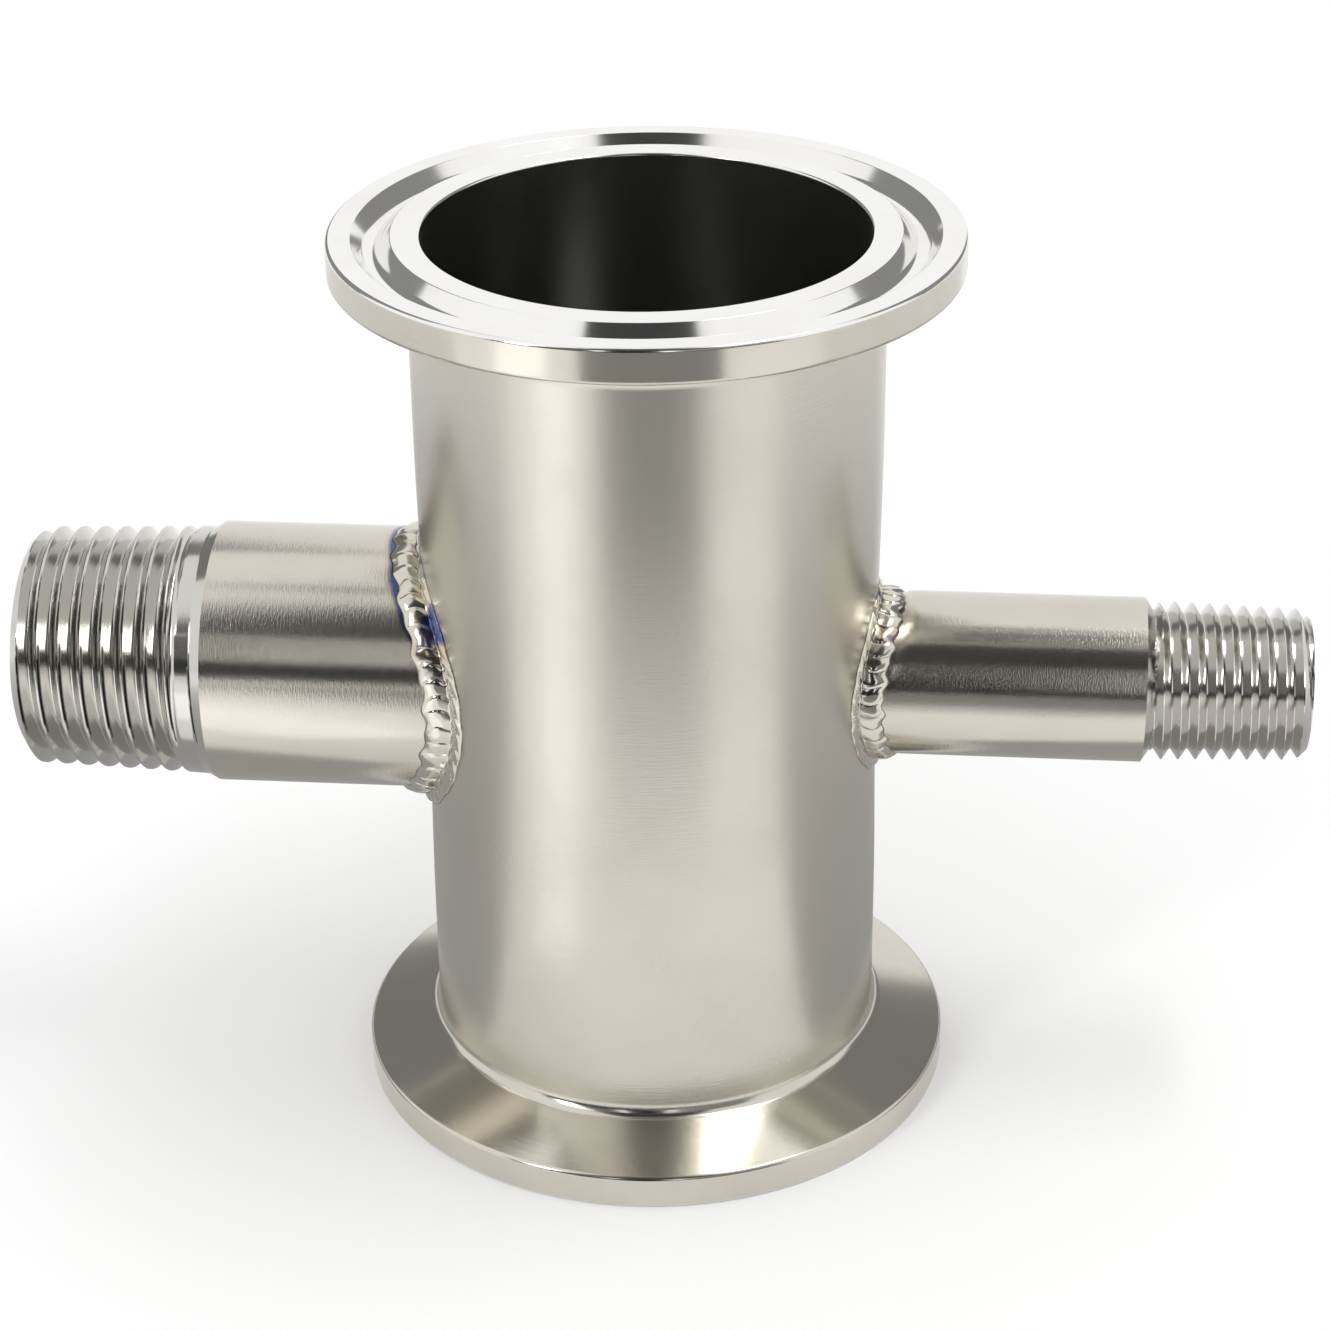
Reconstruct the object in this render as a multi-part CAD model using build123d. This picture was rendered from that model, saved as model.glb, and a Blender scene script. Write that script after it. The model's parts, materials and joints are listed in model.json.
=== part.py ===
"""Sanitary spool with two threaded side ports, in millimetres.

A short stainless tube has a clamp ferrule at each end and a male taper-thread nipple welded into
each side, both on one cross axis. The origin is the centre of the bottom flange's face, +Z runs up
the bore, the large nipple points along -X and the small one along +X.
"""
import os
from dataclasses import dataclass
from math import atan, cos, degrees, radians, sin, tan

from build123d import *

# Spool body
SPOOL_LENGTH = 76.2          # face to face
TUBE_OUTER_D = 38.1
TUBE_WALL = 1.25
FERRULE_LENGTH = 12.7        # flange face to the flush butt weld
PORT_HEIGHT = 37.5           # bottom face to the nipples' common axis

# Clamp ferrule
FLANGE_OVERHANG = 6.2        # flange edge beyond the tube's outside, for a 50.5 flange
RIM_THICKNESS = 2.85         # straight outer edge of the flange, face to back cone
CLAMP_ANGLE = 20.0           # slope of the back cone that the clamp pulls on
RIM_BACK_ROUND = 0.45
RIM_FACE_ROUND = 0.35
BORE_EDGE_ROUND = 0.25
NECK_FILLET = 1.2
GROOVE_INSET = 3.55          # flange edge in to the gasket groove's centre line
GROOVE_DEPTH = 1.3
GROOVE_BOTTOM_R = 0.95
GROOVE_WALL_ANGLE = 50.0     # groove wall, measured from the flange face


@dataclass
class Nipple:
    """Sizes of one side nipple; reach and shoulder are measured from the spool's axis."""
    side: int                # -1 points along -X, +1 along +X
    body_d: float            # plain turned part
    bore_d: float
    reach: float             # to the threaded end
    shoulder: float          # to the end of the plain part
    thread_end_d: float      # over the crests at the threaded end
    thread_pitch: float      # the run-out beside the plain part is one pitch long
    thread_depth: float
    first_crest: float       # innermost full crest, on the side that faces -Y
    run_out_depth: float     # how far the run-out's middle lies below the crests
    end_chamfer: float
    weld_leg: float          # radius of the concave weld bead


THREAD_TAPER = 1 / 16        # on diameter, as on every taper pipe thread
CREST_FLAT = 0.12            # share of the pitch
ROOT_FLAT = 0.08             # share of the pitch
THREAD_START_TURN = 37.0     # turn at which the cutter enters, counted from +Y
CUTTER_LIFT = 0.05           # how far the cutter stands out of the crests
SPARE_TURNS = 3              # pitches of bar past the finished end
BORE_MOUTH_CHAMFER = 0.4

LARGE = Nipple(side=-1, body_d=22.0, bore_d=15.8, reach=52.4, shoulder=36.2, thread_end_d=20.1,
               thread_pitch=1.814, thread_depth=1.12, first_crest=39.05, run_out_depth=0.0,
               end_chamfer=0.8, weld_leg=2.3)
SMALL = Nipple(side=1, body_d=13.7, bore_d=9.2, reach=54.4, shoulder=40.9, thread_end_d=12.5,
               thread_pitch=1.411, thread_depth=0.9, first_crest=42.37, run_out_depth=0.9,
               end_chamfer=0.8, weld_leg=2.0)

TUBE_OUTER_R = TUBE_OUTER_D / 2
BORE_R = TUBE_OUTER_R - TUBE_WALL
FLANGE_R = TUBE_OUTER_R + FLANGE_OVERHANG


def ferrule():
    """One turned ferrule with its flange face at Z 0 and its neck pointing up."""
    cone_rise = FLANGE_OVERHANG * tan(radians(CLAMP_ANGLE))
    section = make_face(Polyline(
        (BORE_R, 0),
        (FLANGE_R, 0),
        (FLANGE_R, RIM_THICKNESS),
        (TUBE_OUTER_R, RIM_THICKNESS + cone_rise),
        (TUBE_OUTER_R, FERRULE_LENGTH),
        (BORE_R, FERRULE_LENGTH),
        close=True,
    ))
    section -= gasket_groove_section()
    rounds = (
        ((BORE_R, 0), BORE_EDGE_ROUND),
        ((FLANGE_R, 0), RIM_FACE_ROUND),
        ((FLANGE_R, RIM_THICKNESS), RIM_BACK_ROUND),
        ((TUBE_OUTER_R, RIM_THICKNESS + cone_rise), NECK_FILLET),
    )
    for corner, radius in rounds:
        vertex = section.vertices().sort_by_distance(Vector(*corner))[0]
        section = fillet(vertex, radius)
    return revolve(Plane.XZ * section, Axis.Z)


def gasket_groove_section():
    """Section of the round-bottomed groove that holds the gasket's bead, in the face at Y 0."""
    slope = radians(GROOVE_WALL_ANGLE)
    arc_centre = GROOVE_DEPTH - GROOVE_BOTTOM_R
    tangent_x = GROOVE_BOTTOM_R * sin(slope)
    tangent_depth = arc_centre + GROOVE_BOTTOM_R * cos(slope)
    half_width = tangent_x + tangent_depth / tan(slope)
    middle = FLANGE_R - GROOVE_INSET
    outline = Polyline(
        (middle - tangent_x, tangent_depth),
        (middle - half_width, 0),
        (middle + half_width, 0),
        (middle + tangent_x, tangent_depth),
    )
    bottom = ThreePointArc(
        (middle + tangent_x, tangent_depth),
        (middle, GROOVE_DEPTH),
        (middle - tangent_x, tangent_depth),
    )
    return make_face(outline + bottom)


def nipple_plane(nipple):
    """Plane on the spool's axis at the ports' height, its normal pointing along the nipple."""
    return Plane(origin=(0, 0, PORT_HEIGHT), x_dir=(0, 1, 0), z_dir=(nipple.side, 0, 0))


def cross_cylinder(nipple, radius, start, end):
    """A cylinder on the nipple's axis, from start to end along the way that the nipple points."""
    return nipple_plane(nipple) * Pos(0, 0, start) * Cylinder(
        radius, end - start, align=(Align.CENTER, Align.CENTER, Align.MIN))


def tube_cylinder():
    """The tube's full outside, from one ferrule's neck to the other's."""
    return Pos(0, 0, FERRULE_LENGTH) * Cylinder(
        TUBE_OUTER_R, SPOOL_LENGTH - 2 * FERRULE_LENGTH, align=(Align.CENTER, Align.CENTER, Align.MIN))


def body_tube():
    """The tube between the ferrules, with a port hole in line with each nipple's bore."""
    bore = Cylinder(BORE_R, SPOOL_LENGTH, align=(Align.CENTER, Align.CENTER, Align.MIN))
    tube = tube_cylinder() - bore
    for nipple in (LARGE, SMALL):
        tube -= cross_cylinder(nipple, nipple.bore_d / 2, 0, TUBE_OUTER_D)
    return tube


def crest_radius(nipple, station):
    """Radius over the thread's crests at a distance from the spool's axis."""
    return nipple.thread_end_d / 2 + (nipple.reach - station) * THREAD_TAPER / 2


def turned_bar(nipple):
    """The nipple along Z before threading, left long so that the cutter can run out in its end."""
    bore_r = nipple.bore_d / 2
    run_out_end = nipple.shoulder + nipple.thread_pitch
    start_r = crest_radius(nipple, run_out_end)
    bar_end = nipple.reach + SPARE_TURNS * nipple.thread_pitch
    section = make_face(Polyline(
        (bore_r, 0),
        (nipple.body_d / 2, 0),
        (nipple.body_d / 2, nipple.shoulder),
        (start_r - nipple.run_out_depth, nipple.shoulder + nipple.thread_pitch / 2),
        (start_r, run_out_end),
        (crest_radius(nipple, bar_end), bar_end),
        (bore_r, bar_end),
        close=True,
    ))
    return revolve(Plane.XZ * section, Axis.Z)


def thread_cutter(nipple):
    """The groove between the crests, swept right-handed along the taper helix and past the end."""
    pitch = nipple.thread_pitch
    start = nipple.first_crest + pitch * THREAD_START_TURN / 360
    stop = nipple.reach + SPARE_TURNS / 2 * pitch
    helix = Edge.make_helix(pitch, stop - start, crest_radius(nipple, start), center=(0, 0, start),
                            angle=-degrees(atan(THREAD_TAPER / 2)))
    root = pitch * ROOT_FLAT / 2
    crest_gap = pitch * (1 - CREST_FLAT) / 2
    mouth = crest_gap + (crest_gap - root) * CUTTER_LIFT / nipple.thread_depth
    section = Plane(origin=helix @ 0, x_dir=(1, 0, 0), z_dir=helix % 0) * make_face(Polyline(
        (CUTTER_LIFT, -mouth),
        (CUTTER_LIFT, mouth),
        (-nipple.thread_depth, root),
        (-nipple.thread_depth, -root),
        close=True,
    ))
    groove = Solid.sweep(section.face(), path=Wire([helix]), is_frenet=True)
    return Rot(0, 0, THREAD_START_TURN) * groove


def end_waste(nipple):
    """What facing and chamfering take off the bar's end, outside and at the mouth of the bore."""
    chamfer_r = crest_radius(nipple, nipple.reach - nipple.end_chamfer)
    bore_r = nipple.bore_d / 2
    beyond = nipple.reach + (SPARE_TURNS + 1) * nipple.thread_pitch
    section = make_face(Polyline(
        (0, nipple.reach - 2 * BORE_MOUTH_CHAMFER),
        (bore_r - BORE_MOUTH_CHAMFER, nipple.reach - 2 * BORE_MOUTH_CHAMFER),
        (bore_r + BORE_MOUTH_CHAMFER, nipple.reach),
        (chamfer_r - nipple.end_chamfer, nipple.reach),
        (chamfer_r + nipple.end_chamfer, nipple.reach - 2 * nipple.end_chamfer),
        (chamfer_r + nipple.end_chamfer, beyond),
        (0, beyond),
        close=True,
    ))
    return revolve(Plane.XZ * section, Axis.Z)


def nipple(sizes):
    """The threaded nipple, its inner end coped to sit on the outside of the tube."""
    finished = turned_bar(sizes) - thread_cutter(sizes) - end_waste(sizes)
    return nipple_plane(sizes).location * finished - tube_cylinder()


def weld_bead(sizes):
    """The concave saddle-shaped bead in the corner between a nipple and the tube."""
    post = cross_cylinder(sizes, sizes.body_d / 2, 0, sizes.shoulder)
    tube = tube_cylinder()
    joined = tube + post
    corner = joined.edges().filter_by(lambda edge: on_both_cylinders(edge, sizes))
    filleted = fillet(corner, sizes.weld_leg)
    return filleted - joined


def on_both_cylinders(edge, sizes):
    """True for the saddle edge where the nipple's outside meets the tube's."""
    tolerance = 0.001
    point = edge.position_at(0.5)
    from_tube = Vector(point.X, point.Y, 0).length - TUBE_OUTER_R
    from_post = Vector(0, point.Y, point.Z - PORT_HEIGHT).length - sizes.body_d / 2
    return abs(from_tube) < tolerance and abs(from_post) < tolerance


def nodes():
    """Every piece of the spool by the name of its node."""
    bottom = ferrule()
    return {
        "body_tube": body_tube(),
        "bottom_ferrule": bottom,
        "top_ferrule": Pos(0, 0, SPOOL_LENGTH) * mirror(bottom, Plane.XY),
        "large_nipple": nipple(LARGE),
        "small_nipple": nipple(SMALL),
        "large_nipple_weld": weld_bead(LARGE),
        "small_nipple_weld": weld_bead(SMALL),
    }


def main():
    os.makedirs("parts", exist_ok=True)
    for name, shape in nodes().items():
        shape.label = name
        export_step(shape, f"parts/{name}.step")


main()
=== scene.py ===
"""Sanitary spool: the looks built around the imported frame, in metres.

Laid out as an add-on: sizes and colours are property groups, each group of pieces has an operator,
and main() calls the operators in order.
"""

import json
from math import cos, hypot, pi, radians, sin, sqrt, tan

import bmesh
import bpy
from mathutils import Matrix, Vector


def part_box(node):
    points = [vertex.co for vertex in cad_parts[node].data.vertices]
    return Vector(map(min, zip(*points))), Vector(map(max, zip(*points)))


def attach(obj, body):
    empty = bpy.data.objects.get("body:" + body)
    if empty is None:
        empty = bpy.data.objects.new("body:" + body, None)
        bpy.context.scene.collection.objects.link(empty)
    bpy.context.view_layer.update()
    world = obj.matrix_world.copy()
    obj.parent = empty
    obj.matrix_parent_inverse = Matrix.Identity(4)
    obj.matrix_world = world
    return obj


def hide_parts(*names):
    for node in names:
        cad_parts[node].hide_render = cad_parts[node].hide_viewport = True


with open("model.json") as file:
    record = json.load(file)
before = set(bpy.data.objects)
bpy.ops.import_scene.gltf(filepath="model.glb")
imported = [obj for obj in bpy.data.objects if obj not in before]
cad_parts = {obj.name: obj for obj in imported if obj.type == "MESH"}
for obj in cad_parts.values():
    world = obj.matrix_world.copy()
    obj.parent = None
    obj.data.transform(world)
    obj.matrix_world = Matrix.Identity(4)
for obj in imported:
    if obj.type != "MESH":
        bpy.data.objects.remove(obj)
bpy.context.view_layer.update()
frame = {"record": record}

bl_info = {
    "name": "Sanitary Spool",
    "version": (1, 0, 0),
    "blender": (4, 5, 0),
    "location": "View3D > Sidebar > Spool",
    "description": "Builds the finished surfaces of a clamp-ended spool with two threaded nipples",
    "category": "Object",
}

MM = 0.001
MOUNTS = {mount["name"]: mount for mount in frame["record"]["mounts"]}
SPOOL_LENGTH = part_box("top_ferrule")[1].z
FLANGE_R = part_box("top_ferrule")[1].x
TUBE_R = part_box("body_tube")[1].x
SEAM_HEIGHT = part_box("bottom_ferrule")[1].z
PORT_HEIGHT = (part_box("large_nipple")[0].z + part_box("large_nipple")[1].z) / 2
BORE_R = MOUNTS["main_bore"]["dims"]["r_mm"] * MM
LARGE_REACH = -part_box("large_nipple")[0].x
SMALL_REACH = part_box("small_nipple")[1].x
LARGE_BODY_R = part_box("large_nipple")[1].y
SMALL_BODY_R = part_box("small_nipple")[1].y
LARGE_BORE_R = MOUNTS["large_port_bore"]["dims"]["r_mm"] * MM
SMALL_BORE_R = MOUNTS["small_port_bore"]["dims"]["r_mm"] * MM

SAME_PLACE = 1e-7            # closer than this, two outline points are one
SKIN = 0.02 * MM             # closer than this, a face lies on a wall
HALF_TAPER = 1 / 32          # rise of the thread's cone on radius, for each unit of length
RUN_OUT_SLOPE = 1.73         # slope of the run-out groove's outer wall
BORE_MOUTH = 0.4 * MM        # chamfer of a nipple's bore at its threaded end
CREASE = 0.62                # share of a weld's width that lies on the nipple's side of its crease
PLAIN_RINGS = 36             # rings of faces along the plain part of a nipple

# For the large nipple, side -1, and the small one, side 1
NIPPLE_SEGMENTS = {-1: 360, 1: 300}
ROWS_PER_PITCH = {-1: 18, 1: 16}
WELD_STEPS = {-1: 1600, 1: 1100}

# Lamps: name, place, size, power
SOFTBOXES = (
    ("left_softbox", (-0.42, -0.50, 0.40), (0.10, 0.30), 0.8),
    ("top_softbox", (0.20, 0.0, 0.60), (0.27, 0.08), 0.6),
)
# Curved cards: name, azimuth and elevation span in degrees, brightness; 0 is the front, 90 is +X
FLAG_DISTANCE = 0.9
FLAGS = (
    ("centre_flag", (-9.5, 10), (-2, 38), 0.02),
    ("left_low_flag", (-50, -9.5), (2, 17), 0.03),
    # painted highlight: a glowing strip brighter than the white surround, seen only in reflections and
    # lighting nothing
    ("painted_highlight_left", (-15, -10), (17, 37), 1.5),
    ("left_mid_flag", (-50, -14), (17, 37), 0.12),
    ("right_low_flag", (10, 52), (-2, 6), 0.03),
    # painted highlight: a glowing strip brighter than the white surround, seen only in reflections and
    # lighting nothing
    ("painted_highlight_right", (10, 15), (6, 29), 1.5),
    ("right_mid_flag", (15, 52), (6, 38), 0.30),
    ("upper_flag", (-30, 34), (38, 69), 0.05),
    ("high_flag", (-30, 34), (70.5, 77), 0.08),
    ("overhead_flag", (-80, 80), (77, 98), 0.10),
    ("back_left_flag", (200, 250), (4, 52), 0.25),
    ("back_right_flag", (112, 160), (4, 52), 0.25),
)
# Cards on the floor that only reflections see, painted light and shade on the floor (painted shade in front
# and beside the foot, a painted pool of the left softbox's light): name, azimuth span in degrees, three radii
# and the brightness at each
FLOOR_CARDS = (
    # painted shade: the floor in front shows darker, in reflections only
    ("painted_front_shade", (-17, 30), (0.075, 0.14, 0.9), (0.85, 0.30, 0.20)),
    # painted highlight: a floor patch brighter than white, glowing in reflections only, in place of the left
    # softbox's light on the floor
    ("painted_light_pool", (-46, -28), (0.05, 0.2, 0.5), (1.35, 1.6, 1.3)),
    ("left_shade", (-150, -62), (0.028, 0.07, 0.22), (0.40, 0.42, 0.93)),
    ("right_shade", (66, 150), (0.028, 0.06, 0.22), (0.40, 0.45, 0.93)),
)
AIM_HEIGHT = 0.04            # on the axis: lamps face it and the curved cards lie round it


# ---------------------------------------------------------------- properties

def length(name, description, default):
    """A size in metres."""
    return bpy.props.FloatProperty(
        name=name, description=description, default=default, precision=5,
        subtype="DISTANCE", unit="LENGTH")


def angle(name, description, default):
    """An angle, given in degrees and kept in radians."""
    return bpy.props.FloatProperty(
        name=name, description=description, default=radians(default), subtype="ANGLE", unit="ROTATION")


def factor(name, description, default):
    """A plain number."""
    return bpy.props.FloatProperty(name=name, description=description, default=default)


def colour(name, description, default):
    """A linear colour."""
    return bpy.props.FloatVectorProperty(
        name=name, description=description, default=default, size=3, subtype="COLOR", min=0.0, max=1.0)


class FerruleSizes(bpy.types.PropertyGroup):
    """Sizes of the clamp ferrules."""
    rim_thickness: length("Rim thickness", "Straight outer edge of the flange", 2.85 * MM)
    clamp_angle: angle("Clamp angle", "Slope of the back cone", 20.0)
    groove_inset: length("Groove inset", "Flange edge in to the groove's centre line", 3.55 * MM)
    groove_half_width: length("Groove half width", "Half the groove's width at the face", 1.557 * MM)
    groove_wall: angle("Groove wall", "Groove wall, measured from the face", 50.0)
    groove_bottom: length("Groove bottom", "Radius of the groove's bottom", 0.95 * MM)
    groove_lip: length("Groove lip", "Rounding where the groove meets the face", 0.12 * MM)
    bore_edge: length("Bore edge", "Rounding at the mouth of the bore", 0.25 * MM)
    face_edge: length("Face edge", "Rounding of the rim at the face", 0.35 * MM)
    back_edge: length("Back edge", "Rounding of the rim at the back cone", 0.45 * MM)
    neck_fillet: length("Neck fillet", "Fillet between cone and neck", 1.2 * MM)


class TubeSizes(bpy.types.PropertyGroup):
    """Sizes of the body tube."""
    draw_in: length("Draw in", "How far the welds have pulled the wall in at the ports", 0.24 * MM)
    draw_span: length("Draw span", "Half the height over which the wall is drawn in", 22.0 * MM)


class NippleSizes(bpy.types.PropertyGroup):
    """Sizes of one threaded nipple, measured out from the spool's axis."""
    side: bpy.props.IntProperty(name="Side", description="-1 points along -X, 1 along +X", default=1)
    reach: length("Reach", "To the threaded end", 0.0)
    body_radius: length("Body radius", "Outside of the plain part", 0.0)
    bore_radius: length("Bore radius", "Inside radius", 0.0)
    shoulder: length("Shoulder", "To the end of the plain part", 0.0)
    end_radius: length("End radius", "Over the crests at the threaded end", 0.0)
    pitch: length("Pitch", "Thread pitch", 0.0)
    depth: length("Depth", "Depth of the thread", 0.0)
    first_crest: length("First crest", "A crest on the front side, from the spool's axis", 0.0)
    crest_flat: factor("Crest flat", "Share of the pitch that is flat at the crest", 0.1)
    root_flat: factor("Root flat", "Share of the pitch that is flat at the root", 0.1)
    run_out_depth: length("Run-out depth", "Depth of the groove beside the plain part", 0.0)
    fade: length("Fade", "Length over which the thread's depth fades out", 0.0)
    end_chamfer: length("End chamfer", "Chamfer on the threaded end", 0.8 * MM)
    weld_leg: length("Weld leg", "Width of the weld along the nipple", 0.0)
    weld_ripple: length("Weld ripple", "Distance between the weld's ripples", 0.0)
    undercut: length("Undercut", "Depth of the melted groove beside the weld", 0.0)


class FinishColours(bpy.types.PropertyGroup):
    """Colours of the steel."""
    satin: colour("Satin steel", "Brushed tube", (0.66, 0.63, 0.555))
    polished: colour("Polished steel", "Turned flange faces", (0.92, 0.915, 0.90))
    shade: colour("Shaded steel", "Duller patches in the satin", (0.57, 0.54, 0.465))
    straw: colour("Straw tint", "Outer heat tint beside the welds", (0.60, 0.53, 0.40))
    violet: colour("Violet tint", "Middle heat tint", (0.30, 0.26, 0.36))
    blue: colour("Blue tint", "Inner heat tint", (0.09, 0.13, 0.26))
    cut: colour("Cut steel", "Threads", (0.63, 0.62, 0.595))
    # painted shade: the bore colour is darker than the outside steel, so the inside of the bore shows dark
    bore: colour("Bore steel", "Wall of the bore", (0.44, 0.44, 0.425))
    scorch: colour("Torn metal", "Torn thread crests", (0.03, 0.03, 0.028))


class StageSettings(bpy.types.PropertyGroup):
    """Camera and light."""
    azimuth: angle("Azimuth", "Camera's turn about the spool from the front", 5.236)
    elevation: angle("Elevation", "Camera's height angle", 27.751)
    roll: angle("Roll", "Camera's turn about its own view", -0.595)
    distance: length("Distance", "Camera to its target", 272.34 * MM)
    aim_height: length("Aim height", "Height of the point that the camera is set out from", 40.0 * MM)
    aim_right: length("Aim right", "Target's shift to the camera's right", 1.133 * MM)
    aim_up: length("Aim up", "Target's shift up in the picture", -2.348 * MM)
    lens: bpy.props.FloatProperty(name="Lens", description="Focal length on a 36 mm sensor",
                                  default=88.08, subtype="DISTANCE_CAMERA")
    floor_level: factor("Floor", "Brightness of the floor's own colour", 0.93)
    world_level: factor("World", "Brightness of the white surround on matt surfaces", 0.97)


# ---------------------------------------------------------------- mesh tools

def rounded_outline(corners):
    """(x, y, nx, ny) points of a closed outline; corners are (x, y, radius), counter-clockwise.

    The normals point out of the outline, so a revolved ring can be shaded without facets.
    """
    points = []
    count = len(corners)
    for index, (x, y, radius) in enumerate(corners):
        here = Vector((x, y))
        before = Vector(corners[index - 1][:2]) - here
        after = Vector(corners[(index + 1) % count][:2]) - here
        arriving = -before.normalized()
        leaving = after.normalized()
        normal_in = Vector((arriving.y, -arriving.x))
        normal_out = Vector((leaving.y, -leaving.x))
        if radius <= 0:
            points.append((x, y, *normal_in))
            points.append((x, y, *normal_out))
            continue
        turn = arriving.angle_signed(leaving)
        trim = radius * tan(abs(turn) / 2)
        start = here - arriving * trim
        side = 1 if arriving.cross(leaving) > 0 else -1
        centre = start - normal_in * radius * side
        steps = max(4, int(abs(turn) / radians(6)))
        for step in range(steps + 1):
            normal = Matrix.Rotation(abs(turn) * side * step / steps, 2) @ normal_in
            point = centre + normal * radius * side
            points.append((*point, *normal))
    return points


def new_object(name, mesh):
    """A new object at the origin that holds the mesh."""
    piece = bpy.data.objects.new(name, mesh)
    bpy.context.scene.collection.objects.link(piece)
    return piece


def revolve(name, outline, place, segments, slots=None):
    """Revolve a closed outline of (s, r, ns, nr) points; place(s, r, turn) gives the position.

    Two points in one place are a crease. slots gives a material slot for the band after each point.
    """
    turns = [2 * pi * step / segments for step in range(segments)]
    vertices, rings = [], []
    for index, (s, r, _, _) in enumerate(outline):
        if index and hypot(s - outline[index - 1][0], r - outline[index - 1][1]) < SAME_PLACE:
            rings.append(rings[-1])
            continue
        rings.append(len(vertices))
        vertices.extend(place(s, r, turn) for turn in turns)
    faces, bands, normals = [], [], []
    for ring, (_, _, ns, nr) in enumerate(outline):
        after = (ring + 1) % len(outline)
        if rings[ring] == rings[after]:
            continue
        here = [place(ns, nr, turn, True) for turn in turns]
        there = [place(*outline[after][2:], turn, True) for turn in turns]
        for step in range(segments):
            right = (step + 1) % segments
            faces.append((rings[ring] + step, rings[after] + step,
                          rings[after] + right, rings[ring] + right))
            normals += [here[step], there[step], there[right], here[right]]
            bands.append(slots[ring] if slots else 0)
    mesh = bpy.data.meshes.new(name)
    mesh.from_pydata(vertices, [], faces)
    mesh.polygons.foreach_set("material_index", bands)
    mesh.update()
    mesh.shade_smooth()
    mesh.normals_split_custom_set(normals)
    return new_object(name, mesh)


def weld_shut(mesh, distance):
    """Merge doubled vertices, drop faces without area and point every face outwards."""
    shape = bmesh.new()
    shape.from_mesh(mesh)
    bmesh.ops.remove_doubles(shape, verts=shape.verts, dist=distance)
    bmesh.ops.dissolve_degenerate(shape, edges=shape.edges, dist=distance / 10)
    bmesh.ops.recalc_face_normals(shape, faces=shape.faces)
    shape.to_mesh(mesh)
    shape.free()


def set_materials(piece, *materials):
    """Give the piece these materials, one for each slot that its faces already use."""
    slots = [face.material_index for face in piece.data.polygons]
    piece.data.materials.clear()
    for material in materials:
        piece.data.materials.append(material)
    piece.data.polygons.foreach_set("material_index", slots)


def hand_over(piece, node):
    """The piece rides on the one body and stands for its CAD node."""
    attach(piece, "root")
    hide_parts(node)


def baked(piece):
    """Turn the piece's modifiers into a plain mesh."""
    depsgraph = bpy.context.evaluated_depsgraph_get()
    mesh = bpy.data.meshes.new_from_object(piece.evaluated_get(depsgraph))
    piece.modifiers.clear()
    piece.data = mesh
    mesh.name = piece.name


# ---------------------------------------------------------------- node tools

def add(tree, kind, inputs=None, **settings):
    """A new node with its settings, and inputs by name or number; a socket is linked, a value is set."""
    node = tree.nodes.new(kind)
    for key, value in settings.items():
        setattr(node, key, value)
    for key, value in (inputs or {}).items():
        if isinstance(value, bpy.types.NodeSocket):
            tree.links.new(value, node.inputs[key])
        else:
            node.inputs[key].default_value = value
    return node


def calc(tree, operation, *values):
    """The output of a Math node."""
    return add(tree, "ShaderNodeMath", dict(enumerate(values)), operation=operation).outputs[0]


def make_group(name, kind, inputs, outputs):
    """A node group with named sockets; returns the tree, its input node and its output node."""
    tree = bpy.data.node_groups.new(name, kind)
    for label, socket, default in inputs:
        made = tree.interface.new_socket(label, in_out="INPUT", socket_type=socket)
        if default is not None:
            made.default_value = default
    for label, socket in outputs:
        tree.interface.new_socket(label, in_out="OUTPUT", socket_type=socket)
    return tree, tree.nodes.new("NodeGroupInput"), tree.nodes.new("NodeGroupOutput")


def apply_tree(piece, tree, values):
    """Run a geometry tree on the piece with its inputs set by name, and keep the plain mesh."""
    modifier = piece.modifiers.new(tree.name, "NODES")
    modifier.node_group = tree
    for item in tree.interface.items_tree:
        if item.in_out == "INPUT" and item.name in values:
            modifier[item.identifier] = values[item.name]
    baked(piece)


# ---------------------------------------------------------------- shader groups

def ring_marks_group():
    """Fine marks that run round the local Z axis, as turning and circumferential brushing leave."""
    tree, given, out = make_group(
        "ring_marks", "ShaderNodeTree",
        [("Vector", "NodeSocketVector", None), ("Lines", "NodeSocketFloat", 9000.0),
         ("Run", "NodeSocketFloat", 3.0), ("Patches", "NodeSocketFloat", 90.0)],
        [("Height", "NodeSocketFloat"), ("Patch", "NodeSocketFloat")])
    split = add(tree, "ShaderNodeSeparateXYZ", {0: given.outputs["Vector"]})
    x, y, z = split.outputs
    square = calc(tree, "ADD", calc(tree, "MULTIPLY", x, x), calc(tree, "MULTIPLY", y, y))
    radius = calc(tree, "MAXIMUM", calc(tree, "SQRT", square), 1e-5)
    across = calc(tree, "MULTIPLY", calc(tree, "ADD", z, radius), given.outputs["Lines"])
    round_x = calc(tree, "MULTIPLY", calc(tree, "DIVIDE", x, radius), given.outputs["Run"])
    round_y = calc(tree, "MULTIPLY", calc(tree, "DIVIDE", y, radius), given.outputs["Run"])
    place = add(tree, "ShaderNodeCombineXYZ", {0: round_x, 1: round_y, 2: across})
    lines = add(tree, "ShaderNodeTexNoise",
                {"Vector": place.outputs[0], "Scale": 1.0, "Detail": 3.0, "Roughness": 0.65})
    patches = add(tree, "ShaderNodeTexNoise",
                  {"Vector": given.outputs["Vector"], "Scale": given.outputs["Patches"],
                   "Detail": 4.0, "Roughness": 0.6})
    tree.links.new(lines.outputs["Fac"], out.inputs["Height"])
    tree.links.new(patches.outputs["Fac"], out.inputs["Patch"])
    return tree


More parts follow.
